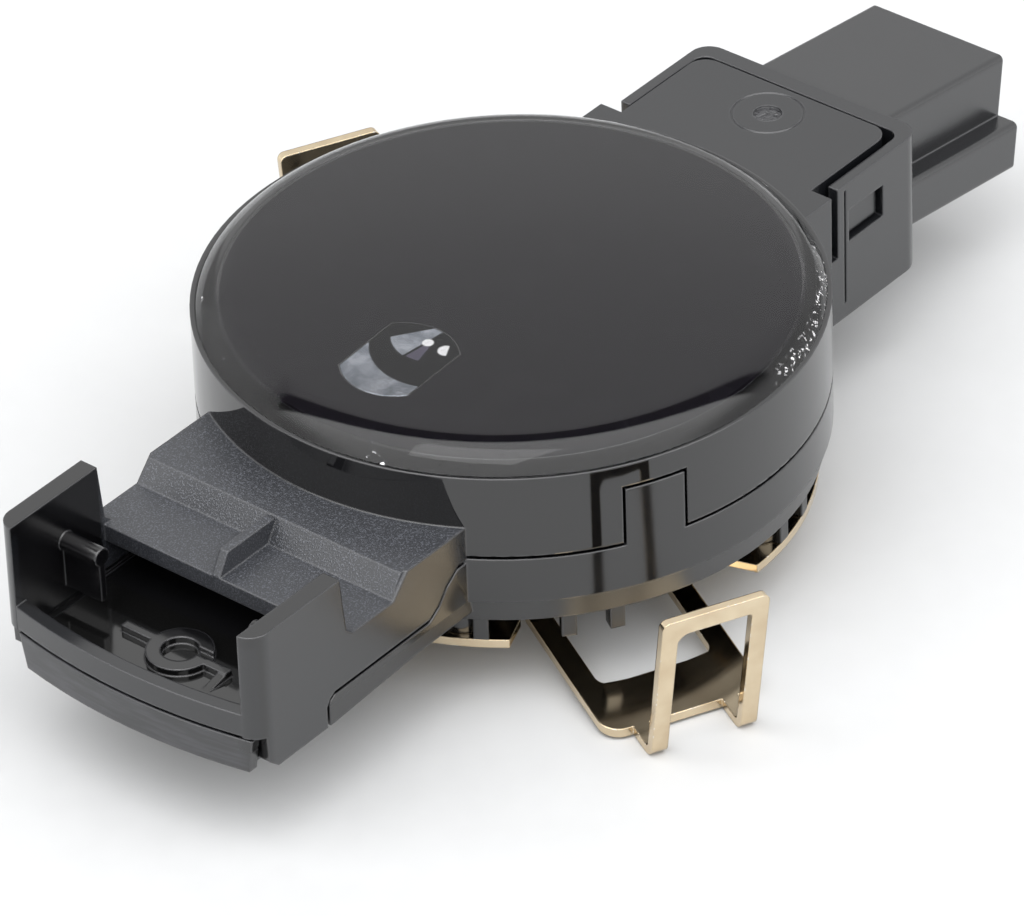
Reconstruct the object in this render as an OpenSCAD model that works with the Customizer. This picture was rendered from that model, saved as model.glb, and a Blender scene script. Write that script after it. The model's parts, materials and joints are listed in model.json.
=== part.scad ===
// Windscreen rain and light sensor: round optical head, open bay arm, plug shroud and two spring clips.
// Origin on the head's axis at the pad seam. +Z up, +X towards the plug, -X towards the bay. Millimetres.

/* [Head] */
// Outer radius of the round head
head_r = 20.2; // [19.6:0.1:20.8]
// Depth from the pad seam to the flat underside of the head
head_depth = 11; // [10.8:0.1:11.2]
// Depth from the pad seam to the parting line of the two housings
parting_depth = 5.8; // [5.6:0.1:6.0]
// Rise of the silicone pad above its seam
pad_rise = 2.9; // [2.4:0.1:3.4]
// Radius of the pad's rounded shoulder
shoulder_round = 3.6; // [3.4:0.1:3.8]

/* [Bay arm] */
// Half the width across the bay arm
arm_half = 10.35; // [10.2:0.05:10.5]
// Distance from the head axis to the front face of the bay posts
bay_reach = 37.1; // [36.6:0.1:38]
// Depth of the upper shelf below the pad seam
shelf_depth = 3.7; // [3.6:0.1:3.9]
// Depth of the lower shelf below the pad seam
low_shelf_depth = 5.2; // [5.0:0.1:5.4]
// Depth of the top of the bay walls below the pad seam
bay_wall_depth = 0.7; // [0.5:0.1:1.0]

/* [Plug] */
// Distance from the head axis to the outer end of the collar
collar_reach = 31.2; // [31:0.1:31.6]
// Half the width across the collar
collar_half = 8.85; // [8.8:0.05:9]
// Length of the plug shroud beyond the collar
shroud_length = 13.8; // [12:0.1:15]
// Downward pitch of the plug shroud in degrees
shroud_pitch = 7.3; // [6:0.1:8]

/* [Spring] */
// Thickness of the spring sheet
sheet_t = 0.6; // [0.5:0.05:0.6]
// Turn of the clips about the head axis, away from the Y axis, in degrees
clip_turn = 26; // [24:0.5:28]
// Distance from the head axis to the bend line where a clip arm flexes
bend_rho = 9; // [8.8:0.1:9.4]
// Downward slope of the outer part of a clip arm at rest, in degrees
arm_slope = 6.9; // [6.5:0.1:7.3]
// Outer width of a clip's window frame
frame_w = 7.2; // [6.9:0.1:7.5]
// Height of a clip's window frame above the middle of its toe bends
frame_h = 10.7; // [10:0.1:11.5]

/* [Hidden] */
$fn = 96;
eps = 0.01;
fit = 0.1;
seam = 0.26;
far = 200;

head_wall = 1.4;
bore_r = head_r - 2.8;
optic_r = head_r - 2.0;
spigot_r = head_r - head_wall - fit;
rim_r = head_r - 0.3;
dome_r = 120;
eye_x = -10.8;
eye_r = 3.7;
eye_half = 2.7;
floor_t = 1.2;

arm_wall = 1.28;
arm_inner = arm_half - arm_wall;
shelf_half = arm_half - 0.2;
shelf_t = 1.2;
step_top_x = -23.3;
step_foot_x = -24.3;
bay_edge_x = -28.8;
bay_back_x = -29.1;
flank_low_z = -8.5;
bay_low_z = -10.8;
post_low_z = -8.3;
neck_low_z = -10.3;
bay_floor_z = -9;
front_wall_top = -6.6;
front_wall_foot = -8.2;
front_arc_r = 43;
front_arc_x = -38.05 + front_arc_r;
post_round = 1.4;
rib_t = 0.65;
tray_start_x = -30.8;
lip_t = 0.65;
lip_low_ends = [-9.4, 8.3];
lip_top_ends = [-9.7, 9.0];
bay_floor_reach = 9;

platform_z = -0.45;
platform_half = 7.72;
platform_reach = collar_reach - 1.8;
platform_t = 1.3;
neck_half = 9.4;
neck_reach = 20.9;
skirt_z = -5.6;
collar_z = -0.75;
collar_low_z = -11;
collar_start = 22.3;
collar_t = 0.75;
collar_end_t = 1.25;
collar_round = 1.5;
window_x = [23.45, 27.1];
window_z = [-5.3, -2.9];

shroud_z = -1.75;
shroud_half = 5.45;
shroud_upper_h = 4.4;
rail_half = 7.05;
shroud_h = 7.9;
shroud_wall = 0.95;
shroud_edge = 0.4;
socket_back = 1.6;
pin_t = 0.63;
pin_pitch = 2.54;
pin_drop = 4.1;
pin_foot_x = 27.3;
pin_tip = 9.5;

board_top = -6.4;
board_t = 1.2;
board_r = bore_r - 0.5;

plate_top = -12.85;
plate_r = 19.3;
spring_post = 0.95;
spring_post_r = head_r - 1.35;
stake_turn = 36;
stake_r = 17.3;
tab_from = -120.8;
tab_to = -109.4;
tab_top = -1.6;

toe_r = 0.65;
toe_rho = 26.2;
frame_lean = 11;
frame_corner = 0.5;
window_corner = 0.3;
window_fillet = 0.8;
side_bar = 1.1;
top_bar = 1.3;
knee_rho = 13;
knee_z = -15.3;
leg_half = 5.4;
leg_w = 1.5;
cross_from = 20.6;
cross_to = 24.5;
toe_steps = 8;
root_gap = 0.1;

// ---------- shared shapes ----------

// Flat outline of a rectangle with rounded corners, from low corner to high corner.
module round_rect(low, high, r) {
    translate([low[0] + r, low[1]]) square([high[0] - low[0] - 2 * r, high[1] - low[1]]);
    translate([low[0], low[1] + r]) square([high[0] - low[0], high[1] - low[1] - 2 * r]);
    for (x = [low[0] + r, high[0] - r], y = [low[1] + r, high[1] - r]) {
        translate([x, y]) circle(r, $fn = 32);
    }
}

// Box from its low corner to its high corner.
module box(low, high) {
    translate(low) cube(high - low);
}

// Side outline in X and Z, spread over the Y range from y0 to y1.
module side_slab(y0, y1) {
    translate([0, y1, 0]) rotate([90, 0, 0]) linear_extrude(y1 - y0) children();
}

// The same thing on both sides of the XZ plane.
module both_sides() {
    children();
    mirror([0, 1, 0]) children();
}

// Wedge of a tube between two angles.
module tube_sector(r_in, r_out, z0, z1, from, to) {
    rotate([0, 0, from]) translate([0, 0, z0]) rotate_extrude(angle = to - from)
        translate([r_in, 0]) square([r_out - r_in, z1 - z0]);
}

// Places things in the shroud's own pitched frame, its top edge at the collar.
module shroud_frame() {
    translate([collar_reach, 0, shroud_z]) rotate([0, shroud_pitch, 0]) children();
}

// Places things in a clip's frame: X points outwards along the clip, Y across it.
module clip_frame(side) {
    rotate([0, 0, -90 - clip_turn + 180 * side]) children();
}

// ---------- optics ----------

// Middle of the shoulder's arc: it passes through the rim and meets the dome smoothly.
function shoulder_centre() = let (
    dome = [0, pad_rise - dome_r],
    span = [rim_r, 0] - dome,
    reach = dome_r - shoulder_round,
    along = (reach * reach - pow(shoulder_round, 2) + span * span) / (2 * norm(span)),
    unit = span / norm(span))
    dome + along * unit + sqrt(reach * reach - along * along) * [-unit[1], unit[0]];

// Clear silicone pad: a shallow dome with a smoothly rounded shoulder, on a short plug.
module coupling_pad() {
    centre = shoulder_centre();
    dome = [0, pad_rise - dome_r];
    meet_r = dome_r * (centre - dome)[0] / norm(centre - dome);
    color([0.28, 0.28, 0.30]) rotate_extrude(angle = 360) {
        intersection() {
            translate(dome) circle(dome_r, $fn = 720);
            square([meet_r, pad_rise + 1]);
        }
        intersection() {
            translate(centre) circle(shoulder_round, $fn = 360);
            translate([meet_r - eps, 0]) square([rim_r - meet_r + 1, pad_rise]);
        }
        translate([0, -seam]) square([optic_r - 0.2, 0.5]);
    }
}

// Eye window shared by the daylight lens and the hole it sits in: a disc with two flat sides.
module eye_outline(grow) {
    translate([eye_x, 0]) intersection() {
        circle(eye_r + grow);
        square([3 * eye_r, 2 * (eye_half + grow)], center = true);
    }
}

// Infrared window disc with four collimating lenses moulded on its underside.
module optic_plate() {
    color([0.05, 0.05, 0.055]) difference() {
        union() {
            translate([0, 0, -2.2]) cylinder(h = 2.2 - seam, r = optic_r - fit);
            for (place = lens_places()) {
                translate([place[0], place[1], -2.2]) intersection() {
                    translate([0, 0, 3.4]) sphere(4.4, $fn = 64);
                    translate([0, 0, -2]) cylinder(h = 3, r = 2.8);
                }
            }
        }
        translate([0, 0, -4]) linear_extrude(6) eye_outline(0.1);
    }
}

// Optical centres: two emitters on one side, two receivers on the other.
function lens_places() = [[9, 6.5], [9, -6.5], [-2, 6.5], [-2, -6.5]];

// Clear lens over the daylight sensor, domed towards the sensor.
module daylight_lens() {
    color([0.85, 0.87, 0.88]) {
        translate([0, 0, -2.2]) linear_extrude(2.2 - seam) eye_outline(0);
        translate([eye_x, 0, -2.2]) intersection() {
            translate([0, 0, 2.2]) sphere(3.1, $fn = 64);
            translate([0, 0, -2]) cylinder(h = 2.5, r = 2.1);
        }
    }
}

// Black frame that keeps each light path apart.
module aperture_frame() {
    color([0.08, 0.08, 0.08]) difference() {
        translate([0, 0, -5.3]) cylinder(h = 1.9, r = bore_r - 0.2);
        for (place = lens_places()) {
            translate([place[0], place[1], -6]) cylinder(h = 2.9, r = 1.6);
            translate([place[0], place[1], -4.2]) cylinder(h = 1.9, r = 2.9);
        }
        translate([eye_x, 0, -6]) cylinder(h = 3, r = 2.4);
    }
}

// ---------- upper housing ----------

// Parting outline of the arm's flank, from the head down to the bay posts.
function flank_line(drop) = [[-16, -parting_depth - 0.2 - drop], [-18.2, -6.1 - drop], [-19.3, -6.9 - drop],
    [-20.1, -7.9 - drop], [-21, flank_low_z - drop], [-30, flank_low_z - drop], [-30.5, -8.8 - drop]];

// Two-step shelf with its centre rib, open underneath.
module shelf() {
    side_slab(-shelf_half, shelf_half) polygon([[-14, -shelf_depth], [step_top_x, -shelf_depth],
        [step_foot_x, -low_shelf_depth], [bay_edge_x, -low_shelf_depth], [bay_edge_x, -low_shelf_depth - shelf_t],
        [step_foot_x - 0.5, -low_shelf_depth - shelf_t], [step_top_x - 0.3, -shelf_depth - shelf_t],
        [-14, -shelf_depth - shelf_t]]);
    side_slab(-rib_t / 2, rib_t / 2) polygon([[step_top_x - 0.2, -shelf_depth], [-27.9, -shelf_depth],
        [bay_edge_x, -low_shelf_depth], [bay_edge_x, -low_shelf_depth - 0.5], [step_top_x - 0.2, -low_shelf_depth]]);
}

// Flank below the shelf and the tall wall beside the bay, on one side.
module arm_side() {
    difference() {
        side_slab(arm_inner, arm_half) polygon(concat([[-16, -shelf_depth], [-22.9, -shelf_depth],
            [step_foot_x, -low_shelf_depth], [bay_back_x + 1, -low_shelf_depth],
            [bay_back_x + 0.4, -low_shelf_depth + 0.5], [bay_back_x, -bay_wall_depth],
            [-bay_reach, -bay_wall_depth], [-bay_reach, post_low_z], [-bay_reach + 0.9, post_low_z],
            [-bay_reach + 1, bay_low_z + 0.6], [-bay_reach + 1.7, bay_low_z], [tray_start_x, bay_low_z],
            [tray_start_x, -9.3]], [for (i = [6 : -1 : 0]) flank_line(0)[i]]));
        difference() {
            box([-bay_reach - 1, arm_half - post_round, bay_low_z - 1], [-bay_reach + post_round, arm_half + 1, 1]);
            translate([-bay_reach + post_round, arm_half - post_round, bay_low_z - 2]) cylinder(h = 14, r = post_round);
        }
    }
    bay_peg();
}

// Round peg on the inside of a bay wall, on a thin web.
module bay_peg() {
    translate([-32.3, arm_inner + eps, -4.35]) rotate([90, 0, 0]) cylinder(h = 3, r = 0.62, $fn = 32);
    box([-32.55, arm_inner - 2.95, -7.6], [-32.05, arm_inner + eps, -4.35]);
}

// Curved low wall across the front of the bay.
module front_wall() {
    arc_block(front_wall_foot, front_wall_top, 0.95, arm_inner + 0.3);
}

// Flat lid over the plug end, with a round gate mark and side catches.
module platform() {
    translate([0, 0, platform_z - platform_t]) linear_extrude(platform_t) {
        translate([10, -neck_half]) square([neck_reach - 10, 2 * neck_half]);
        round_rect([15, -platform_half], [platform_reach, platform_half], 1.3);
    }
    both_sides() {
        box([12, neck_half - 1.2, -parting_depth], [neck_reach, neck_half, platform_z - 0.5]);
        box([neck_reach - 1.2, platform_half - 1.2, -parting_depth], [neck_reach, neck_half, platform_z - 0.5]);
        box([neck_reach - 1, platform_half - 1.2, skirt_z], [platform_reach - 1.3, platform_half, platform_z - 0.5]);
        box([window_x[0] + 0.3, platform_half - 0.4, window_z[0] + 0.3],
            [window_x[1] - 0.3, platform_half + 0.75, window_z[1] - 0.3]);
    }
    box([platform_reach - 1.2, -platform_half + 1.3, skirt_z + 1.9], [platform_reach, platform_half - 1.3, -1]);
}

// Circular gate mark sunk in the platform.
module gate_mark() {
    translate([26.45, 0, platform_z - 0.08]) difference() {
        cylinder(h = 1, r = 2.45);
        translate([0, 0, -1]) cylinder(h = 3, r = 2.3);
    }
    translate([26.45, 0, platform_z - 0.2]) cylinder(h = 1, r = 0.95, $fn = 48);
}

// Head ring, bay arm and plug lid in one moulding.
module upper_housing() {
    color([0.09, 0.09, 0.095]) difference() {
        union() {
            translate([0, 0, -parting_depth]) cylinder(h = parting_depth, r = head_r);
            platform();
            shelf();
            both_sides() arm_side();
            front_wall();
        }
        translate([0, 0, -2.3]) cylinder(h = 5, r = optic_r);
        translate([0, 0, -9]) cylinder(h = 12, r = bore_r);
        translate([0, 0, -parting_depth - 6]) cylinder(h = 7.4, r = spigot_r + fit);
        both_sides() tube_sector(spigot_r, head_r + 1, -parting_depth - 1, tab_top, tab_from - 0.6, tab_to + 0.6);
        gate_mark();
    }
}

// ---------- electronics ----------

// Round board with a tongue under the plug lid.
module circuit_board() {
    color([0.07, 0.25, 0.13]) translate([0, 0, board_top - board_t]) difference() {
        linear_extrude(board_t) {
            circle(board_r);
            round_rect([5, -6], [pin_foot_x + 1.4, 6], 0.8);
        }
        for (i = [-1 : 1]) {
            translate([pin_foot_x, i * pin_pitch, -1]) cylinder(h = 4, r = 0.5, $fn = 32);
        }
    }
}

// Small flat part standing on the board's top face.
module chip_on_top(place, size) {
    translate([place[0], place[1], board_top + size[2] / 2]) cube(size, center = true);
}

// Part hanging below the board.
module chip_below(place, size) {
    translate([place[0], place[1], board_top - board_t - size[2] / 2]) cube(size, center = true);
}

// Infrared emitter or receiver: a square base with a domed lens.
module opto(place) {
    chip_on_top(place, [2.4, 2.4, 0.6]);
    translate([place[0], place[1], board_top + 0.5]) intersection() {
        translate([0, 0, -0.45]) sphere(1.1, $fn = 48);
        cylinder(h = 1, r = 1.1);
    }
}

// Sensor with a window for daylight.
module daylight_sensor() {
    color([0.7, 0.68, 0.6]) difference() {
        chip_on_top([eye_x, 0], [3.4, 3.4, 1]);
        translate([eye_x, 0, board_top + 0.7]) cylinder(h = 1, r = 1.2, $fn = 48);
    }
}

// Gull-wing chip under the board.
module leaded_chip(place, size, leads) {
    chip_below(place, size);
    for (i = [0 : leads - 1], side = [-1, 1]) {
        translate([place[0] + (i - (leads - 1) / 2) * 0.8, place[1] + side * (size[1] / 2 + 0.3),
            board_top - board_t - 0.2]) cube([0.35, 0.9, 0.4], center = true);
    }
}

// Wire-wound inductor: two flanges and a round core.
module inductor() {
    color([0.2, 0.2, 0.22]) translate([10, 0, board_top - board_t]) {
        translate([0, 0, -0.5]) cylinder(h = 0.5, r = 2.2, $fn = 48);
        translate([0, 0, -1.3]) cylinder(h = 1, r = 1.7, $fn = 48);
        translate([0, 0, -1.7]) cylinder(h = 0.5, r = 2.2, $fn = 48);
    }
}

// Bent contact pin: its foot in the board, its blade in the socket.
module contact_pin(index) {
    bend_z = shroud_z - pin_drop * cos(shroud_pitch) + (collar_reach - pin_foot_x) * tan(shroud_pitch);
    color([0.8, 0.76, 0.6]) {
        side_slab(index * pin_pitch - pin_t / 2, index * pin_pitch + pin_t / 2) polygon([
            [pin_foot_x - pin_t / 2, board_top - board_t - 0.5], [pin_foot_x + pin_t / 2, board_top - board_t - 0.5],
            [pin_foot_x + pin_t / 2, bend_z - 0.3], [pin_foot_x - pin_t / 2, bend_z + 0.3]]);
        shroud_frame() {
            translate([(pin_foot_x - collar_reach) - 0.35, index * pin_pitch - pin_t / 2, -pin_drop - pin_t / 2])
                cube([pin_tip - 1 + collar_reach - pin_foot_x + 0.35, pin_t, pin_t]);
            translate([0, index * pin_pitch + pin_t / 2, 0]) rotate([90, 0, 0]) linear_extrude(pin_t)
                polygon([[pin_tip - 1.1, -pin_drop - pin_t / 2], [pin_tip, -pin_drop - 0.12],
                    [pin_tip, -pin_drop + 0.12], [pin_tip - 1.1, -pin_drop + pin_t / 2]]);
        }
    }
}

// ---------- lower housing ----------

// Lower cup of the head, with its spigot, tabs and inner board ledges.
module lower_cup() {
    foot_h = head_depth - 9.3;
    foot_chamfer = 0.5;
    rim_z = -parting_depth - seam;
    difference() {
        union() {
            translate([0, 0, -head_depth + foot_h]) cylinder(h = head_depth - foot_h + rim_z, r = head_r);
            translate([0, 0, -head_depth]) cylinder(h = foot_h, r1 = head_r - foot_chamfer, r2 = head_r - 0.15);
            translate([0, 0, rim_z - 1]) cylinder(h = 2.2, r = spigot_r);
        }
        translate([0, 0, -head_depth + floor_t]) cylinder(h = 12, r = bore_r);
    }
    both_sides() tube_sector(spigot_r + fit, head_r, rim_z - 0.5, tab_top - seam, tab_from, tab_to);
    for (a = [45 : 90 : 315]) {
        rotate([0, 0, a]) box([bore_r - 2.2, -1, -head_depth + floor_t - 0.5],
            [bore_r + 0.3, 1, board_top - board_t]);
    }
}

// Side outline of the tray under the arm, running out to the front lip.
module tray_outline() {
    polygon(concat(flank_line(seam), [[tray_start_x + seam, -9.3 - seam], [tray_start_x + seam, bay_low_z],
        [-22, neck_low_z], [-16, neck_low_z]]));
}

// Block cut to the arc of the bay's front, from height z0 to z1, to a depth behind the arc.
module arc_block(z0, z1, depth, half) {
    translate([0, 0, z0]) linear_extrude(z1 - z0) intersection() {
        difference() {
            translate([front_arc_x, 0]) circle(front_arc_r, $fn = 360);
            translate([front_arc_x, 0]) circle(front_arc_r - depth, $fn = 360);
        }
        translate([-40, -half]) square([12, 2 * half]);
    }
}

// Tray closing the arm from below, with the bay floor and the curved front lip.
module tray() {
    both_sides() side_slab(arm_inner, arm_half) tray_outline();
    side_slab(-arm_inner - 0.5, arm_inner + 0.5) polygon([[tray_start_x + seam, bay_floor_z],
        [tray_start_x + seam, bay_low_z], [-22, neck_low_z], [-14, neck_low_z], [-14, bay_floor_z]]);
    intersection() {
        union() {
            arc_block(bay_low_z, bay_floor_z, bay_floor_reach, arm_inner - 0.05);
            arc_block(bay_low_z, front_wall_foot - seam, lip_t, arm_half);
        }
        rotate([90, 0, 90]) linear_extrude(far, center = true) polygon([[lip_top_ends[0], front_wall_foot],
            [lip_low_ends[0], bay_low_z], [lip_low_ends[1], bay_low_z], [lip_top_ends[1], front_wall_foot]]);
    }
    floor_ring();
}

// Raised ring with two bars on the bay floor.
module floor_ring() {
    translate([-32.4, 0, bay_floor_z - eps]) {
        difference() {
            cylinder(h = 0.5, r = 2.15, $fn = 64);
            translate([0, 0, -1]) cylinder(h = 3, r = 1.2, $fn = 64);
            box([0.2, -3, 0.15], [0.9, 0, 2]);
        }
        both_sides() box([-0.3, 2, 0], [0.3, 3.9, 0.5]);
        box([-0.3, 3, 0], [0.3, 4.5, 0.5]);
    }
    side_slab(-3.9, -3.3) polygon([[-32.2, bay_floor_z - eps], [-34.3, bay_floor_z - eps], [-32.2, bay_floor_z + 0.5]]);
}

// Collar around the plug lid, with a snap window and a relief slot on each side.
module collar() {
    difference() {
        union() {
            intersection() {
                translate([0, 0, collar_low_z]) linear_extrude(collar_z - collar_low_z)
                    round_rect([collar_start - 3, -collar_half], [collar_reach, collar_half], 1.4);
                side_slab(-collar_half, collar_half) difference() {
                    translate([collar_start, collar_low_z]) square([10, 12]);
                    translate([collar_reach - collar_round, collar_low_z]) difference() {
                        square([collar_round, collar_round]);
                        translate([0, collar_round]) circle(collar_round, $fn = 48);
                    }
                }
            }
            box([14, -collar_half, collar_low_z], [collar_start + 0.1, collar_half, -parting_depth - seam]);
        }
        translate([0, 0, collar_low_z + floor_t]) linear_extrude(20) {
            round_rect([10, -collar_half + collar_t], [collar_reach - collar_end_t, collar_half - collar_t], 0.9);
        }
        for (end = [-far, 0]) {
            box([window_x[0], end, window_z[0]], [window_x[1], end + far, window_z[1]]);
            box([22.95, end, -9.9], [23.15, end + far, -1.2]);
        }
    }
}

// Plug shroud with side rails, its mouth facing away from the head.
module shroud() {
    difference() {
        shroud_frame() difference() {
            union() {
                rotate([90, 0, 90]) translate([0, 0, -1.2]) linear_extrude(shroud_length + 1.2) {
                    round_rect([-shroud_half, -shroud_upper_h - 1], [shroud_half, 0], shroud_edge);
                    round_rect([-rail_half, -shroud_h], [rail_half, -shroud_upper_h], shroud_edge);
                }
            }
            socket_space();
        }
        box([20, -collar_half + collar_t, collar_low_z], [collar_reach - collar_end_t, collar_half - collar_t, 2]);
    }
}

// Hollow of the plug socket, in the shroud's frame.
module socket_space() {
    box([socket_back, -shroud_half + shroud_wall, -shroud_h + shroud_wall],
        [shroud_length + 1, shroud_half - shroud_wall, -shroud_wall]);
    box([socket_back, -rail_half + shroud_wall, -shroud_h + shroud_wall],
        [shroud_length + 1, rail_half - shroud_wall, -shroud_upper_h - shroud_wall]);
}

// Passages for the three pins through the collar's end wall.
module pin_passages() {
    shroud_frame() for (i = [-1 : 1]) {
        translate([0.2, i * pin_pitch, -pin_drop]) cube([6, pin_t + 0.04, pin_t + 0.04], center = true);
    }
}

// Square posts hanging from the underside, clear of or above the spring.
module underside_posts() {
    for (half_turn = [0, 180], a = [-147.5, -131.2, -122, -80.5, -71, -54.7]) {
        rotate([0, 0, a + half_turn]) box([spring_post_r - spring_post / 2, -spring_post / 2, plate_top + 0.05],
            [spring_post_r + spring_post / 2, spring_post / 2, -head_depth + 0.5]);
    }
}

// Heat stakes that hold the spring plate: boss, neck and mushroom head.
module heat_stakes() {
    for (side = [0, 1], turn = [-stake_turn, stake_turn]) {
        clip_frame(side) rotate([0, 0, turn]) translate([stake_r, 0, 0]) {
            translate([0, 0, plate_top + 0.03]) cylinder(h = 3, r = 1.5, $fn = 48);
            translate([0, 0, plate_top - sheet_t - 0.2]) cylinder(h = 1.5, r = 0.75, $fn = 32);
            translate([0, 0, plate_top - sheet_t - 0.03]) intersection() {
                mirror([0, 0, 1]) cylinder(h = 0.75, r = 1.2, $fn = 48);
                translate([0, 0, 0.85]) sphere(1.6, $fn = 48);
            }
        }
    }
}

// Cup, arm tray, collar, shroud, posts and stakes in one moulding.
module lower_housing() {
    color([0.075, 0.075, 0.08]) difference() {
        union() {
            lower_cup();
            difference() {
                union() {
                    tray();
                    collar();
                }
                translate([0, 0, -head_depth + floor_t]) cylinder(h = 12, r = head_r - 0.5);
                translate([0, 0, -head_depth - 5]) cylinder(h = 5 - eps, r = head_r - 0.5);
            }
            shroud();
            underside_posts();
            heat_stakes();
        }
        box([bore_r - 4, -platform_half + 0.4, -head_depth + floor_t], [collar_start + 0.1, platform_half - 0.4, 1]);
        pin_passages();
    }
}

// ---------- spring ----------

// Flat spring plate under the head, cut back where the clip arms leave it.
module spring_plate() {
    color([0.78, 0.68, 0.5]) translate([0, 0, plate_top - sheet_t]) linear_extrude(sheet_t) difference() {
        circle(plate_r);
        for (side = [0, 1]) {
            rotate([0, 0, -90 - clip_turn + 180 * side]) {
                polygon([[bend_rho, -6], [15.6, -7], [17.3, -8.55], [30, -8.55],
                    [30, 8.55], [17.3, 8.55], [15.6, 7], [bend_rho, 6]]);
                for (turn = [-stake_turn, stake_turn]) {
                    rotate([0, 0, turn]) translate([stake_r, 0]) circle(0.85, $fn = 32);
                }
            }
            rotate([0, 0, -clip_turn + 180 * side]) translate([14, 0]) round_rect([-4, -5], [2.4, 5], 2);
        }
        circle(6);
    }
}

// Outline of a clip's arms and cross plate seen from above, in the clip's frame.
module clip_plan() {
    difference() {
        union() {
            translate([bend_rho, -leg_half]) square([cross_to - bend_rho - 3, 2 * leg_half]);
            round_rect([cross_to - 6, -leg_half], [cross_to, leg_half], 1.4);
        }
        intersection() {
            round_rect([bend_rho - 1, -leg_half + leg_w], [cross_from - 0.1, leg_half - leg_w], 0.9);
            circle(cross_from);
        }
    }
}

// Middle of the clip sheet in side view: steep start, knee, gentle slope, toe bend and window frame.
function clip_path() = concat(
    [[bend_rho + root_gap, arm_z(bend_rho + root_gap)], [knee_rho, knee_z]],
    [for (i = [0 : toe_steps]) toe_point(-90 - arm_slope + i * (90 + arm_slope - frame_lean) / toe_steps)],
    [toe_point(-frame_lean) + (frame_h + 1) * [sin(frame_lean), cos(frame_lean)]]);

// Middle of the toe bend, which the arm's slope meets smoothly, and a point of the bend at an angle.
function toe_z() = knee_z - (toe_rho - knee_rho) * tan(arm_slope) + toe_r / cos(arm_slope);
function toe_point(a) = [toe_rho + toe_r * cos(a), toe_z() + toe_r * sin(a)];

// Height of the middle of the clip sheet at a distance from the head axis, up to the cross plate.
function arm_z(rho) = rho < knee_rho
    ? plate_top - sheet_t / 2 + (knee_z - plate_top + sheet_t / 2) * (rho - bend_rho) / (knee_rho - bend_rho)
    : knee_z - (rho - knee_rho) * tan(arm_slope);

// Sideways unit vector of a path's segment, and the mitred one at a path's point.
function side_of(path, i) = let (d = path[i + 1] - path[i]) [-d[1], d[0]] / norm(d);
function mitre(path, i) = let (a = side_of(path, max(i - 1, 0)), b = side_of(path, min(i, len(path) - 2)))
    (a + b) / (1 + a * b);

// Band of even thickness along a path.
module band(path, thickness) {
    last = len(path) - 1;
    polygon(concat([for (i = [0 : last]) path[i] + mitre(path, i) * thickness / 2],
        [for (i = [last : -1 : 0]) path[i] - mitre(path, i) * thickness / 2]));
}

// Toes and window frame seen from the front: two bars and a top, one inner corner much rounder.
module frame_outline() {
    half = frame_w / 2 - side_bar;
    top = toe_z() + frame_h;
    difference() {
        round_rect([-frame_w / 2, -25], [frame_w / 2, top], frame_corner);
        difference() {
            round_rect([-half, -26], [half, top - top_bar], window_corner);
            translate([-half, top - top_bar - window_fillet]) difference() {
                square(window_fillet);
                translate([window_fillet, 0]) circle(window_fillet, $fn = 32);
            }
        }
    }
}

// One clip: arms, cross plate, toes and window frame in one bent sheet.
module clip(side) {
    color([0.80, 0.70, 0.52]) clip_frame(side) intersection() {
        side_slab(-leg_half - 1, leg_half + 1) band(clip_path(), sheet_t);
        union() {
            translate([0, 0, -30]) linear_extrude(30) clip_plan();
            translate([cross_to - 0.4, 0, 0]) rotate([90, 0, 90]) linear_extrude(10) frame_outline();
        }
    }
}

coupling_pad();
optic_plate();
daylight_lens();
upper_housing();
aperture_frame();
circuit_board();
color([0.75, 0.8, 0.85]) opto(lens_places()[0]);  // emitter_a
color([0.75, 0.8, 0.85]) opto(lens_places()[1]);  // emitter_b
color([0.15, 0.12, 0.15]) opto(lens_places()[2]);  // receiver_a
color([0.15, 0.12, 0.15]) opto(lens_places()[3]);  // receiver_b
daylight_sensor();
color([0.1, 0.1, 0.1]) leaded_chip([-3, 0], [6.5, 6.5, 1.2], 7);  // controller_chip
color([0.1, 0.1, 0.1]) leaded_chip([4, -8], [4.9, 3.9, 1.3], 5);  // bus_chip
color([0.6, 0.5, 0.35]) chip_below([4, 8], [3.2, 1.6, 1.4]);  // capacitor_a
color([0.6, 0.5, 0.35]) chip_below([10, 6], [2, 1.25, 1.1]);  // capacitor_b
inductor();
contact_pin(-1);  // pin_a
contact_pin(0);  // pin_b
contact_pin(1);  // pin_c
lower_housing();
spring_plate();
clip(0);  // clip_front
clip(1);  // clip_rear
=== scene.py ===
"""Looks, light and camera for the windscreen rain and light sensor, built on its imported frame. Metres."""

import json
import math

import bpy
from mathutils import Matrix, Vector


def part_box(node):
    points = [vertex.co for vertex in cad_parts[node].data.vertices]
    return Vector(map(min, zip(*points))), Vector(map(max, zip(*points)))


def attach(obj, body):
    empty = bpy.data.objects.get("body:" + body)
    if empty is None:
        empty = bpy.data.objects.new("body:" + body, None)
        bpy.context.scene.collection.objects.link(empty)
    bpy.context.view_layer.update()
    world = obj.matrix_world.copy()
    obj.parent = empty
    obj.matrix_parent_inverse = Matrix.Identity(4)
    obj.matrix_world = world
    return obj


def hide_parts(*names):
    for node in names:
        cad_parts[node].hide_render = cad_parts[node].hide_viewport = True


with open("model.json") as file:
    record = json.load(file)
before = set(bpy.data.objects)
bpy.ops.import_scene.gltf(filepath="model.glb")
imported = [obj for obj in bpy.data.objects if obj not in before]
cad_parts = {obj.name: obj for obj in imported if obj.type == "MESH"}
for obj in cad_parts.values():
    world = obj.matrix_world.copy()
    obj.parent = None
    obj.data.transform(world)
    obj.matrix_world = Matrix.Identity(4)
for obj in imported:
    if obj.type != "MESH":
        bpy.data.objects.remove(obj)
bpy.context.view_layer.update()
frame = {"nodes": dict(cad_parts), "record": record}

MM = 0.001

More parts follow.
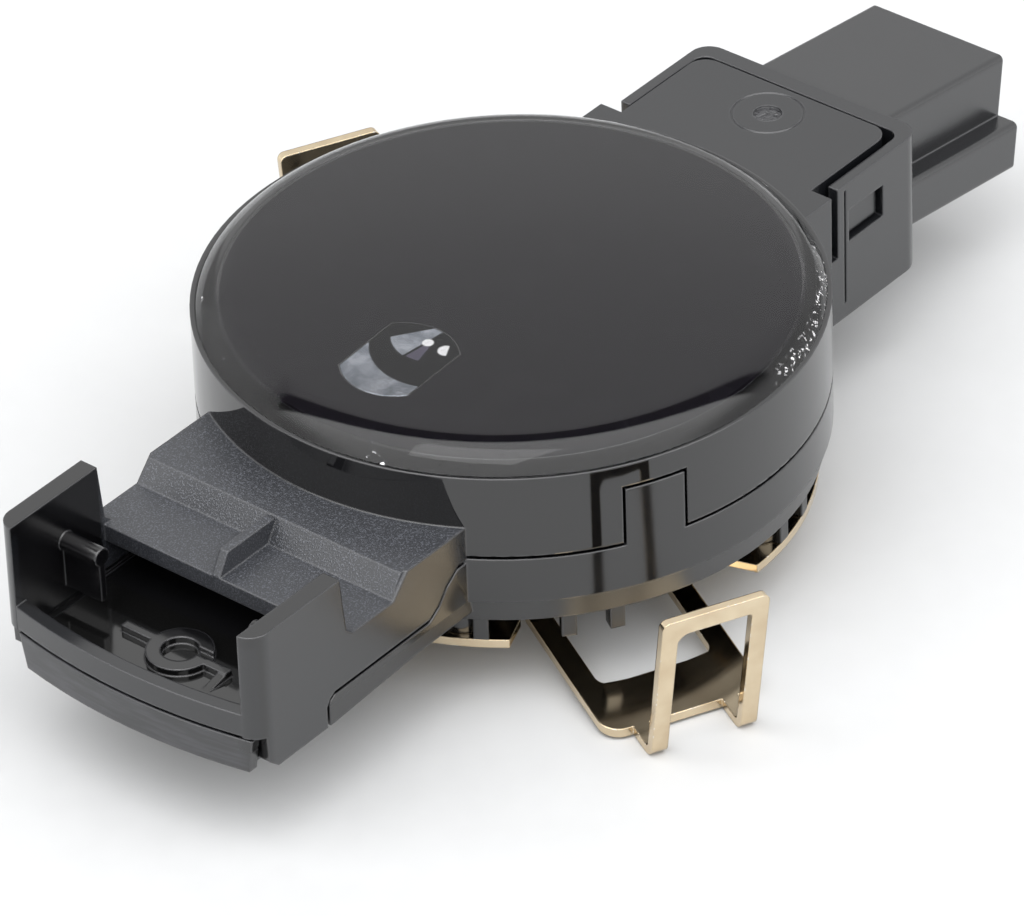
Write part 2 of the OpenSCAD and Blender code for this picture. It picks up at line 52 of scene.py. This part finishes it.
# ---------- driving measures, read off the frame ----------

PAD_LOW, PAD_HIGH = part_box("coupling_pad")
FLOOR_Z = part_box("clip_front")[0].z

# From here on, lengths on the part are in millimetres. The pad first.
RIM_R = PAD_HIGH.x / MM
PAD_RISE = PAD_HIGH.z / MM
PAD_FOOT = PAD_LOW.z / MM
DOME_R = 120.0
SHOULDER_ROUND = 3.6
PLUG_R = RIM_R - 1.9
BOND = 0.03
PAD_STEPS = 24
PAD_TURNS = 256
PAD_SHARP_DEGREES = 30

# Marks on the pad: where its shoulder and its rim begin, the frosted patch by the arm, and the torn part of
# the rim by the plug.
SHOULDER_R = RIM_R - 2.4
RIM_BAND_R = RIM_R - 0.6
FROST_X = -12.5
FROST_Y_LOW = 3.5
FROST_Y_HIGH = 13.0
TORN_X = 3.0
TORN_Y = -13.0

# The housing: the head's radius and what counts as outside it, the bay arm's sides, open bay, front wall and
# lip, the foot of the cup, and the plug end with its gate mark.
HEAD_R = RIM_R + 0.3
OUTSIDE_R = HEAD_R + 0.04
BAY_REACH = -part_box("upper_housing")[0].x / MM
FLANK_Y = 10.3
BAY_X = 9.05 - BAY_REACH
BAY_FLOOR_X = BAY_X - 0.2
FRONT_X = 1.55 - BAY_REACH
FRONT_TOP_Z = -1.5
LIP_X = 1.0 - BAY_REACH
BAY_FLOOR_LOW_Z = -9.3
BAY_FLOOR_TOP_Z = -8.7
FOOT_Z = -9.25
FOOT_R = 19.0
PLUG_X = 21.0
GATE_X = 26.45
GATE_R = 0.95

# The daylight lens's middle, then the outlines of its facets, which carry painted sky reflections and painted
# glints, measured from there: circles as x, y and radius, straight edges as a point's x and y with the edge's
# slope, and how far each facet reaches in x.
EYE_X = -10.9
EYE_Y = 0.15
EYE_HOLLOW = (2.9, -1.3, 4.55)
EYE_CAP = (3.4, -0.5, 2.9)
EYE_FACET = (3.4, -0.5, 2.85)
EYE_PAINTED_GLINTS = ((2.4, -0.55, 0.36), (2.4, -1.95, 0.5))
EYE_CAP_TOP = (1.29, 1.93, -0.77)
EYE_CAP_FOOT = (0.7, -0.1, -0.17)
EYE_FACET_TOP = (0.7, -0.3, -0.17)
EYE_FACET_FOOT = (0.7, -1.2, 0.2)
EYE_PAINTED_GLINT_FOOT = (2.4, -2.1, 0.5)
EYE_HOLLOW_REACH = 0.3
EYE_FACET_REACH = 2.1
EYE_CAP_REACH = 3.8

# How much of the paler colour shows along the plastics' edges: partly wear, partly a painted highlight.
EDGE_WEAR_AND_HIGHLIGHT = 0.3

# The plastics' value is above that of real plastic and stands in for the photo's flattened highlights. The
# bonded one is for surfaces that lie against the silicone and so hardly reflect.
PLASTIC_IOR = 1.75
SILICONE_IOR = 1.43
BONDED_IOR = 1.1

# The camera: where it stands round the origin, and where the origin sits in the picture.
AZIMUTH = math.radians(-49.73)
ELEVATION = math.radians(35.505)
ROLL = math.radians(-2.092)
DISTANCE = 0.5025
LENS_MM = 281.25
SENSOR_MM = 36.0
AIM_RIGHT = -0.000156
AIM_UP = 0.020855
CLIP_NEAR = 0.01
CLIP_FAR = 20.0

# The sky's arch: degrees up from the horizon beyond the part, over the top, against its strength.
HALF_TURN = 180
SKY_STRENGTH = 3.5
SKY_ARCH = [(0, 0.17), (30, 0.28), (60, 0.31), (65, 0.01), (78, 0.01), (83, 1.0), (145, 0.80), (160, 0.18),
            (HALF_TURN, 0.08)]
# The sky's strength at both sides, and how far sideways the change to it starts and ends.
SKY_SIDES = 0.38
SKY_SIDES_SPAN = (0.7, 0.95)

# The lamp over the part, and the paper under it, in metres.
LAMP_PLACE = (-0.35, -0.1, 0.9)
LAMP_SIZE = 0.5
LAMP_WATTS = 1.5
FLOOR_HALF = 3.0


# ---------- node helpers ----------


class Nodes:
    """A material's node tree with short ways to add and join nodes."""

    def __init__(self, name):
        self.material = bpy.data.materials.new(name)
        self.material.use_nodes = True
        self.tree = self.material.node_tree
        self.tree.nodes.clear()
        self.out = self.tree.nodes.new("ShaderNodeOutputMaterial")
        self.place = self.tree.nodes.new("ShaderNodeTexCoord").outputs["Object"]
        self.axes = self.add("ShaderNodeSeparateXYZ", Vector=self.place).outputs

    def add(self, kind, settings=None, **inputs):
        """Adds a node, its settings given as a dict and its inputs as values or sockets."""
        node = self.tree.nodes.new(kind)
        for key, value in (settings or {}).items():
            setattr(node, key, value)
        for key, value in inputs.items():
            self.feed(node.inputs[key.replace("_", " ")], value)
        return node

    def feed(self, socket, value):
        """Joins a socket to another one, or sets its value."""
        if isinstance(value, bpy.types.NodeSocket):
            self.tree.links.new(value, socket)
        else:
            socket.default_value = value

    def math(self, operation, a, b=0.0):
        """A sum, product or other sum-like step on two values."""
        node = self.tree.nodes.new("ShaderNodeMath")
        node.operation = operation
        self.feed(node.inputs[0], a)
        self.feed(node.inputs[1], b)
        return node.outputs[0]

    def noise(self, grain_mm, detail=3.0, rough=0.55, stretch=None):
        """Noise whose blobs are about grain_mm across, stretched along the axes if asked."""
        where = self.place
        if stretch:
            where = self.add("ShaderNodeMapping", Vector=where, Scale=stretch).outputs[0]
        scale = 1.0 / (grain_mm * MM)
        node = self.add("ShaderNodeTexNoise", Vector=where, Scale=scale, Detail=detail, Roughness=rough)
        return node.outputs["Fac"]

    def span(self, value, from_low, from_high, to_low=0.0, to_high=1.0):
        """Maps a value from one range to another, clamped at both ends."""
        node = self.tree.nodes.new("ShaderNodeMapRange")
        self.feed(node.inputs["Value"], value)
        limits = {"From Min": from_low, "From Max": from_high, "To Min": to_low, "To Max": to_high}
        for name, limit in limits.items():
            self.feed(node.inputs[name], limit)
        return node.outputs[0]

    def blend(self, share, a, b):
        """Mixes two numbers or sockets by a share."""
        node = self.tree.nodes.new("ShaderNodeMix")
        self.feed(node.inputs["Factor"], share)
        self.feed(node.inputs["A"], a)
        self.feed(node.inputs["B"], b)
        return node.outputs["Result"]

    def tint(self, share, a, b):
        """Mixes two colours by a share."""
        node = self.tree.nodes.new("ShaderNodeMix")
        node.data_type = "RGBA"
        self.feed(node.inputs["Factor"], share)
        colour_a, colour_b = node.inputs[6], node.inputs[7]
        self.paint(colour_a, a)
        self.paint(colour_b, b)
        return node.outputs[2]

    def paint(self, socket, colour):
        """Joins a colour socket to another one, or sets its red, green and blue."""
        self.feed(socket, colour if isinstance(colour, bpy.types.NodeSocket) else (*colour, 1.0))

    def below(self, value, limit, soft_mm=0.05):
        """1 where a length is under a limit in millimetres, 0 above it, over a soft edge."""
        return self.span(value, (limit - soft_mm) * MM, (limit + soft_mm) * MM, 1.0, 0.0)

    def both(self, *masks):
        """Where every mask holds."""
        result = masks[0]
        for mask in masks[1:]:
            result = self.math("MULTIPLY", result, mask)
        return result

    def neither(self, mask):
        """Where a mask doesn't hold."""
        return self.math("SUBTRACT", 1.0, mask)

    def radius(self):
        """Distance from the head's axis."""
        flat = self.add("ShaderNodeCombineXYZ", X=self.axes[0], Y=self.axes[1], Z=0.0).outputs[0]
        node = self.tree.nodes.new("ShaderNodeVectorMath")
        node.operation = "LENGTH"
        self.feed(node.inputs[0], flat)
        return node.outputs["Value"]

    def disc(self, middle_x, middle_y, radius):
        """1 inside an upright cylinder round a point in the XY plane, in millimetres."""
        across = self.math("SUBTRACT", self.axes[0], middle_x * MM)
        along = self.math("SUBTRACT", self.axes[1], middle_y * MM)
        squares = [self.math("MULTIPLY", part, part) for part in (across, along)]
        return self.below(self.math("SQRT", self.math("ADD", *squares)), radius)

    def soft_edges(self, radius_mm):
        """The normal with sharp edges rounded off, and a mask of those edges."""
        bevel_samples = 6
        flat_dot = 0.995
        edge_dot = 0.85
        bevel = self.add("ShaderNodeBevel", {"samples": bevel_samples}, Radius=radius_mm * MM).outputs[0]
        flat = self.tree.nodes.new("ShaderNodeNewGeometry").outputs["Normal"]
        turn = self.tree.nodes.new("ShaderNodeVectorMath")
        turn.operation = "DOT_PRODUCT"
        self.feed(turn.inputs[0], bevel)
        self.feed(turn.inputs[1], flat)
        return bevel, self.span(turn.outputs["Value"], flat_dot, edge_dot)

    def bump(self, normal, *layers):
        """Bumps laid over a normal, each a height socket with its depth in millimetres and strength."""
        for height, depth_mm, strength in layers:
            depth = depth_mm * MM
            node = self.add("ShaderNodeBump", Height=height, Distance=depth, Strength=strength, Normal=normal)
            normal = node.outputs[0]
        return normal

    def surface(self, colour, roughness, normal=None, **more):
        """Ends the tree with a principled surface."""
        shader = self.tree.nodes.new("ShaderNodeBsdfPrincipled")
        self.paint(shader.inputs["Base Color"], colour)
        self.feed(shader.inputs["Roughness"], roughness)
        if normal is not None:
            self.feed(shader.inputs["Normal"], normal)
        for key, value in more.items():
            self.feed(shader.inputs[key.replace("_", " ")], value)
        self.tree.links.new(shader.outputs[0], self.out.inputs["Surface"])
        return self.material


# ---------- materials ----------


def upper_plastic():
    """Black moulding: polished on the head ring, spark-eroded on the shelf, satin on the plug lid."""
    n = Nodes("upper_plastic")
    x, y, z = n.axes
    outside = n.neither(n.below(n.radius(), OUTSIDE_R, 0.03))
    arm_side = n.below(x, 0.0)
    arm = n.both(outside, arm_side)
    lid = n.both(outside, n.neither(arm_side))
    flank = n.neither(n.below(n.math("ABSOLUTE", y), FLANK_Y, 0.02))
    bay = n.below(x, BAY_X, 0.2)
    front = n.both(n.below(x, FRONT_X, 0.1), n.below(z, FRONT_TOP_Z, 0.1))
    shelf = n.both(arm, n.neither(flank), n.neither(bay))
    smooth = n.neither(shelf)
    pits_and_painted_glints = n.both(shelf, n.span(n.noise(0.11, 1.0, 0.4), 0.50, 0.75))
    cloud = n.noise(5.0)
    grain = n.both(smooth, outside, n.noise(0.10, 2.0))
    crater = n.both(n.disc(GATE_X, 0, GATE_R), n.noise(0.5, 3.0, 0.6))
    rounded, edge = n.soft_edges(0.2)
    rough = n.blend(arm, 0.05, 0.18)
    rough = n.blend(shelf, rough, 0.42)
    rough = n.blend(lid, rough, 0.24)
    rough = n.math("ADD", rough, n.span(cloud, 0.3, 0.7, -0.01, 0.02))
    satin = n.math("MAXIMUM", lid, n.math("MAXIMUM", front, n.both(arm, flank)))
    colour = n.tint(satin, (0.003, 0.003, 0.0035), (0.006, 0.0065, 0.008))
    colour = n.tint(shelf, colour, (0.018, 0.0195, 0.024))
    # The spark-eroded pits are painted paler: painted glints, while their bump below is the real texture.
    colour = n.tint(pits_and_painted_glints, colour, (0.075, 0.08, 0.095))
    # Paler edges: partly wear, partly a painted highlight.
    colour = n.tint(n.math("MULTIPLY", edge, EDGE_WEAR_AND_HIGHLIGHT), colour, (0.12, 0.12, 0.13))
    colour = n.tint(crater, colour, (0.06, 0.06, 0.065))
    waves = n.both(smooth, cloud)
    normal = n.bump(rounded, (pits_and_painted_glints, 0.03, 0.5), (grain, 0.01, 0.25), (crater, 0.4, 0.8), (waves, 0.02, 0.10))
    return n.surface(colour, rough, normal, IOR=PLASTIC_IOR)


def lower_plastic():
    """Black moulding, satin: grainy on the plug end, polished in the bay, lined on its lip."""
    n = Nodes("lower_plastic")
    x, _, z = n.axes
    plug = n.neither(n.below(x, PLUG_X, 0.3))
    front = n.below(x, LIP_X, 0.1)
    in_bay = n.both(n.below(x, BAY_FLOOR_X, 0.1), n.neither(front))
    bay_floor = n.both(in_bay, n.neither(n.below(z, BAY_FLOOR_LOW_Z)), n.below(z, BAY_FLOOR_TOP_Z))
    foot = n.both(n.below(z, FOOT_Z), n.neither(n.below(n.radius(), FOOT_R)), n.neither(plug))
    streaks = n.noise(0.5, 3.0, 0.6, stretch=(0.15, 0.15, 1.6))
    cloud = n.noise(4.0)
    rounded, edge = n.soft_edges(0.22)
    rough = n.blend(foot, 0.12, 0.3)
    rough = n.blend(plug, rough, 0.22)
    rough = n.blend(front, rough, 0.30)
    rough = n.blend(bay_floor, rough, 0.07)
    rough = n.math("ADD", rough, n.span(cloud, 0.3, 0.7, -0.02, 0.03))
    colour = n.tint(n.math("MAXIMUM", plug, front), (0.004, 0.004, 0.0045), (0.009, 0.0095, 0.011))
    colour = n.tint(bay_floor, colour, (0.004, 0.004, 0.004))
    # Paler edges: partly wear, partly a painted highlight.
    colour = n.tint(n.math("MULTIPLY", edge, EDGE_WEAR_AND_HIGHLIGHT), colour, (0.11, 0.11, 0.12))
    colour = n.tint(n.both(front, n.span(streaks, 0.45, 0.65)), colour, (0.025, 0.025, 0.03))
    height = n.blend(front, n.math("MULTIPLY", plug, n.noise(0.10, 2.0)), streaks)
    normal = n.bump(rounded, (height, 0.02, 0.4), (cloud, 0.02, 0.10))
    return n.surface(colour, rough, normal, IOR=PLASTIC_IOR)


def silicone():
    """Clear silicone, glossy, with a frosted patch by the arm and white flakes on its rim."""
    n = Nodes("silicone")
    x, y, _ = n.axes
    shoulder = n.neither(n.below(n.radius(), SHOULDER_R, 0.25))
    by_arm = n.both(n.neither(n.below(y, FROST_Y_LOW, 0.8)), n.below(y, FROST_Y_HIGH, 1.5))
    by_arm = n.both(by_arm, n.below(x, FROST_X, 1.0))
    frosted = n.both(shoulder, by_arm, n.span(n.noise(0.14, 3.0, 0.7), 0.48, 0.62))
    rim = n.neither(n.below(n.radius(), RIM_BAND_R, 0.15))
    torn = n.both(rim, n.neither(n.below(x, TORN_X, 1.5)), n.below(y, TORN_Y, 1.5))
    scattered = n.both(rim, n.span(n.noise(2.0, 1.0), 0.68, 0.72))
    ragged = n.span(n.noise(0.4, 4.0, 0.75), 0.57, 0.62)
    dots = n.span(n.noise(0.3, 1.0), 0.78, 0.80)
    flakes = n.both(n.math("MAXIMUM", ragged, dots), n.math("MAXIMUM", torn, scattered))
    marks = n.math("MAXIMUM", n.math("MULTIPLY", frosted, 0.4), flakes)
    colour = n.tint(flakes, (0.93, 0.93, 0.95), (0.95, 0.95, 0.96))
    rough = n.math("ADD", 0.03, n.math("MULTIPLY", marks, 0.4))
    flat = n.tree.nodes.new("ShaderNodeNewGeometry").outputs["Normal"]
    normal = n.bump(flat, (marks, 0.05, 0.6))
    return n.surface(colour, rough, normal, IOR=SILICONE_IOR, Transmission_Weight=n.neither(flakes))


def infrared_window():
    """Polished black window disc, bonded to the silicone above it, so it hardly reflects."""
    n = Nodes("infrared_window")
    film = n.noise(3.0, 3.0)
    colour = n.tint(film, (0.0085, 0.0075, 0.010), (0.010, 0.009, 0.012))
    return n.surface(colour, n.span(film, 0.3, 0.7, 0.2, 0.3), IOR=BONDED_IOR)


def eye_lens():
    """Daylight lens in the eye window: its facets carry painted reflections of the sky and painted glints,
    black between.
    """
    n = Nodes("eye_lens")
    x, y, _ = n.axes
    across = n.math("SUBTRACT", x, EYE_X * MM)
    along = n.math("SUBTRACT", y, EYE_Y * MM)

    def inside(circle):
        """1 inside a circle given from the lens's middle."""
        middle_x, middle_y, radius = circle
        return n.disc(EYE_X + middle_x, EYE_Y + middle_y, radius)

    def under(edge):
        """1 on the lower side of a straight edge given from the lens's middle."""
        point_x, point_y, slope = edge
        rise = n.math("SUBTRACT", along, n.math("MULTIPLY", across, slope))
        return n.below(rise, point_y - point_x * slope)

    crescent = n.both(n.neither(inside(EYE_HOLLOW)), n.below(across, EYE_HOLLOW_REACH))
    cap = n.both(inside(EYE_CAP), under(EYE_CAP_TOP), n.neither(under(EYE_CAP_FOOT)))
    cap = n.both(cap, n.below(across, EYE_CAP_REACH))
    facet = n.both(inside(EYE_FACET), under(EYE_FACET_TOP), n.neither(under(EYE_FACET_FOOT)))
    facet = n.both(facet, n.below(across, EYE_FACET_REACH))
    painted_glints = n.math("MAXIMUM", *[inside(painted_glint) for painted_glint in EYE_PAINTED_GLINTS])
    painted_glints = n.both(painted_glints, n.neither(under(EYE_PAINTED_GLINT_FOOT)))
    sky = n.math("MAXIMUM", crescent, cap)
    mirror = n.math("MAXIMUM", sky, n.math("MAXIMUM", facet, painted_glints))
    film = n.noise(1.2, 3.0)
    # Painted reflections on a flat lens: the crescent and cap are sky-grey mirror patches, the facet is a
    # darker one, and the glints are pure white.
    grey = n.tint(n.span(film, 0.35, 0.65), (0.20, 0.22, 0.25), (0.42, 0.44, 0.48))
    colour = n.tint(sky, (0.006, 0.006, 0.007), grey)
    colour = n.tint(facet, colour, (0.11, 0.10, 0.14))
    colour = n.tint(painted_glints, colour, (1.0, 1.0, 1.0))
    normal = n.bump(n.soft_edges(0.1)[0], (film, 0.03, 0.3))
    return n.surface(colour, n.span(film, 0.3, 0.7, 0.06, 0.12), normal, Metallic=mirror, IOR=BONDED_IOR)


def spring_bronze():
    """Pale bare bronze sheet: rolling lines, faint stains and bright stamped edges."""
    n = Nodes("spring_bronze")
    lines = n.noise(0.5, 2.0, 0.5, stretch=(0.12, 1.0, 1.0))
    stain = n.noise(2.2, 3.0, 0.5)
    burr = n.span(n.noise(0.35, 2.0, 0.5), 0.60, 0.68)
    rounded, edge = n.soft_edges(0.14)
    colour = n.tint(n.span(stain, 0.3, 0.7), (0.74, 0.62, 0.44), (0.62, 0.50, 0.34))
    burred = n.math("MULTIPLY", edge, burr)
    colour = n.tint(burred, colour, (0.92, 0.90, 0.86))
    rough = n.math("ADD", n.span(lines, 0.3, 0.7, 0.10, 0.15), n.math("MULTIPLY", edge, 0.06))
    normal = n.bump(rounded, (lines, 0.006, 0.15), (burred, 0.05, 0.5))
    return n.surface(colour, rough, normal, Metallic=1.0)


def simple(name, light, dark, rough, grain_mm, metallic=0.0):
    """A grained material for the pieces inside the housing."""
    n = Nodes(name)
    grain = n.noise(grain_mm, 3.0)
    normal = n.bump(n.soft_edges(0.08)[0], (grain, 0.01, 0.3))
    uneven = n.span(grain, 0.3, 0.7, rough, rough + 0.12)
    return n.surface(n.tint(grain, dark, light), uneven, normal, Metallic=metallic)


def floor_paper():
    """Pale seamless paper."""
    n = Nodes("floor_paper")
    fibre = n.noise(1.5, 4.0)
    colour = n.tint(fibre, (0.515, 0.52, 0.525), (0.54, 0.545, 0.55))
    normal = n.bump(n.soft_edges(0.1)[0], (fibre, 0.02, 0.05))
    return n.surface(colour, n.span(fibre, 0.3, 0.7, 0.55, 0.7), normal)


def hidden_materials():
    """Materials of the pieces inside the housing, by slot."""
    made = {
        "frame_black": ((0.05, 0.05, 0.05), (0.03, 0.03, 0.03), 0.5, 0.3),
        "board_green": ((0.05, 0.22, 0.10), (0.03, 0.15, 0.07), 0.3, 0.8),
        "led_clear": ((0.75, 0.78, 0.82), (0.6, 0.63, 0.7), 0.1, 0.4),
        "receiver_dark": ((0.06, 0.04, 0.06), (0.03, 0.02, 0.03), 0.12, 0.4),
        "sensor_body": ((0.7, 0.68, 0.6), (0.55, 0.53, 0.46), 0.5, 0.2),
        "chip_black": ((0.04, 0.04, 0.04), (0.02, 0.02, 0.02), 0.45, 0.15),
        "chip_ceramic": ((0.6, 0.48, 0.32), (0.45, 0.34, 0.22), 0.45, 0.15),
        "ferrite": ((0.12, 0.12, 0.13), (0.06, 0.06, 0.07), 0.55, 0.2),
        "tinned_brass": ((0.85, 0.80, 0.62), (0.65, 0.58, 0.42), 0.22, 0.3, 1.0),
    }
    return {name: simple(name, *looks) for name, looks in made.items()}


def dress_frame():
    """Gives every CAD node its material."""
    made = {
        "silicone_pad": silicone(),
        "infrared_window": infrared_window(),
        "clear_lens": eye_lens(),
        "gloss_black": upper_plastic(),
        "satin_black": lower_plastic(),
        "spring_bronze": spring_bronze(),
        **hidden_materials(),
    }
    slot_of = {part["node"]: part["material_slot"] for part in frame["record"]["subparts"]}
    for node, obj in frame["nodes"].items():
        obj.data.materials.clear()
        obj.data.materials.append(made[slot_of[node]])


# ---------- rebuilt pieces ----------


def arc(middle, radius, start, end, steps):
    """Points along an arc in the radius and height plane, its angles measured from straight up."""
    turns = [start + (end - start) * i / steps for i in range(steps + 1)]
    return [middle + radius * Vector((math.sin(turn), math.cos(turn))) for turn in turns]


def pad_profile():
    """Radius and height of the pad's outline in millimetres, from the top's middle to the plug's foot."""
    dome = Vector((0, PAD_RISE - DOME_R))
    to_rim = Vector((RIM_R, 0)) - dome
    reach = DOME_R - SHOULDER_ROUND
    along = (reach**2 - SHOULDER_ROUND**2 + to_rim.length_squared) / (2 * to_rim.length)
    unit = to_rim.normalized()
    shoulder = dome + unit * along + Vector((-unit.y, unit.x)) * math.sqrt(reach**2 - along**2)
    meet = math.atan2((shoulder - dome).x, (shoulder - dome).y)
    last = math.atan2(RIM_R - shoulder.x, -shoulder.y)
    dome_points = arc(dome, DOME_R, 0, meet, PAD_STEPS)
    outline = dome_points[:-1] + arc(shoulder, SHOULDER_ROUND, meet, last, PAD_STEPS)
    foot = PAD_FOOT - BOND
    corners = ((RIM_R, -BOND), (PLUG_R, -BOND), (PLUG_R, foot), (0, foot))
    return outline + [Vector(corner) for corner in corners]


def lathe(profile, turns):
    """Points in metres and faces of a solid turned about Z, its profile running from axis to axis."""
    rings = profile[1:-1]
    points = [(0, 0, profile[0].y * MM)]
    for ring in rings:
        for i in range(turns):
            turn = 2 * math.pi * i / turns
            points.append((ring.x * math.cos(turn) * MM, ring.x * math.sin(turn) * MM, ring.y * MM))
    points.append((0, 0, profile[-1].y * MM))
    first = [1 + level * turns for level in range(len(rings))]
    faces = []
    for i in range(turns):
        after = (i + 1) % turns
        faces.append((0, 1 + i, 1 + after))
        for low, high in zip(first, first[1:]):
            faces.append((low + i, high + i, high + after, low + after))
        faces.append((first[-1] + i, len(points) - 1, first[-1] + after))
    return points, faces


def silicone_pad():
    """The pad again with a finely turned shoulder, its foot sunk slightly into what it is bonded to."""
    points, faces = lathe(pad_profile(), PAD_TURNS)
    mesh = bpy.data.meshes.new("silicone_pad")
    mesh.from_pydata(points, [], faces)
    mesh.shade_smooth()
    mesh.set_sharp_from_angle(angle=math.radians(PAD_SHARP_DEGREES))
    mesh.materials.append(frame["nodes"]["coupling_pad"].data.materials[0])
    pad = bpy.data.objects.new("silicone_pad", mesh)
    bpy.context.scene.collection.objects.link(pad)
    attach(pad, "housing")
    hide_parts("coupling_pad")


# ---------- stage ----------


def camera_axes():
    """Right, up and back directions of the camera."""
    level = math.cos(ELEVATION)
    back = Vector((math.sin(AZIMUTH) * level, -math.cos(AZIMUTH) * level, math.sin(ELEVATION)))
    right = Vector((math.cos(AZIMUTH), math.sin(AZIMUTH), 0))
    up = back.cross(right)
    rolled_right = right * math.cos(ROLL) + up * math.sin(ROLL)
    rolled_up = up * math.cos(ROLL) - right * math.sin(ROLL)
    return rolled_right, rolled_up, back


def make_camera():
    """A long lens at the photo's angle, aimed so that the origin falls where it does in the photo."""
    right, up, back = camera_axes()
    data = bpy.data.cameras.new("camera")
    data.lens = LENS_MM
    data.sensor_width = SENSOR_MM
    data.clip_start = CLIP_NEAR
    data.clip_end = CLIP_FAR
    camera = bpy.data.objects.new("camera", data)
    place = (back - right * AIM_RIGHT - up * AIM_UP) * DISTANCE
    turn = Matrix((right, up, back)).transposed().to_4x4()
    camera.matrix_world = Matrix.Translation(place) @ turn
    bpy.context.scene.collection.objects.link(camera)
    bpy.context.scene.camera = camera


def make_floor():
    """One large sheet of paper that the clips stand on."""
    corners = [(-1, -1), (1, -1), (1, 1), (-1, 1)]
    mesh = bpy.data.meshes.new("floor")
    mesh.from_pydata([(x * FLOOR_HALF, y * FLOOR_HALF, FLOOR_Z) for x, y in corners], [], [(0, 1, 2, 3)])
    mesh.materials.append(floor_paper())
    floor = bpy.data.objects.new("floor", mesh)
    bpy.context.scene.collection.objects.link(floor)


def make_lamp():
    """A square soft light over the part that looks at the origin."""
    data = bpy.data.lights.new("overhead", "AREA")
    data.shape = "SQUARE"
    data.size = LAMP_SIZE
    data.energy = LAMP_WATTS
    light = bpy.data.objects.new("overhead", data)
    place = Vector(LAMP_PLACE)
    light.matrix_world = Matrix.Translation(place) @ place.to_track_quat("Z", "Y").to_matrix().to_4x4()
    bpy.context.scene.collection.objects.link(light)


def make_world():
    """A bright studio: white wall beyond the part, a dark gap above it, darker behind the camera."""
    world = bpy.data.worlds.new("studio")
    world.use_nodes = True
    tree = world.node_tree
    tree.nodes.clear()
    way = tree.nodes.new("ShaderNodeTexCoord").outputs["Generated"]

    def share(direction):
        """How much of the way looked along lies in a direction."""
        node = tree.nodes.new("ShaderNodeVectorMath")
        node.operation = "DOT_PRODUCT"
        node.inputs[1].default_value = direction
        tree.links.new(way, node.inputs[0])
        return node.outputs["Value"]

    def maths(operation, *sockets):
        """A maths node fed by one or two sockets."""
        node = tree.nodes.new("ShaderNodeMath")
        node.operation = operation
        for into, socket in zip(node.inputs, sockets):
            tree.links.new(socket, into)
        return node

    beyond = (-math.sin(AZIMUTH), math.cos(AZIMUTH), 0)
    aside = (math.cos(AZIMUTH), math.sin(AZIMUTH), 0)
    over = maths("DIVIDE", maths("ARCTAN2", share((0, 0, 1)), share(beyond)).outputs[0])
    over.inputs[1].default_value = math.pi
    arch = tree.nodes.new("ShaderNodeValToRGB")
    arch.color_ramp.interpolation = "EASE"
    stops = arch.color_ramp.elements
    while len(stops) < len(SKY_ARCH):
        stops.new(1.0)
    for stop, (degrees, strength) in zip(stops, SKY_ARCH):
        stop.position = degrees / HALF_TURN
        stop.color = (strength, strength, strength, 1)
    tree.links.new(over.outputs[0], arch.inputs[0])
    sides = tree.nodes.new("ShaderNodeMapRange")
    sides.interpolation_type = "SMOOTHSTEP"
    sides.inputs["From Min"].default_value, sides.inputs["From Max"].default_value = SKY_SIDES_SPAN
    tree.links.new(maths("ABSOLUTE", share(aside)).outputs[0], sides.inputs["Value"])
    mix = tree.nodes.new("ShaderNodeMix")
    mix.data_type = "RGBA"
    mix.inputs[7].default_value = (SKY_SIDES, SKY_SIDES, SKY_SIDES, 1)
    tree.links.new(sides.outputs[0], mix.inputs["Factor"])
    tree.links.new(arch.outputs[0], mix.inputs[6])
    background = tree.nodes.new("ShaderNodeBackground")
    background.inputs["Strength"].default_value = SKY_STRENGTH
    tree.links.new(mix.outputs[2], background.inputs["Color"])
    out = tree.nodes.new("ShaderNodeOutputWorld")
    tree.links.new(background.outputs[0], out.inputs["Surface"])
    bpy.context.scene.world = world


def make_light():
    """The studio's sky and lamp, shown without a film curve."""
    make_world()
    make_lamp()
    bpy.context.scene.view_settings.view_transform = "Standard"


dress_frame()
silicone_pad()
make_camera()
make_floor()
make_light()
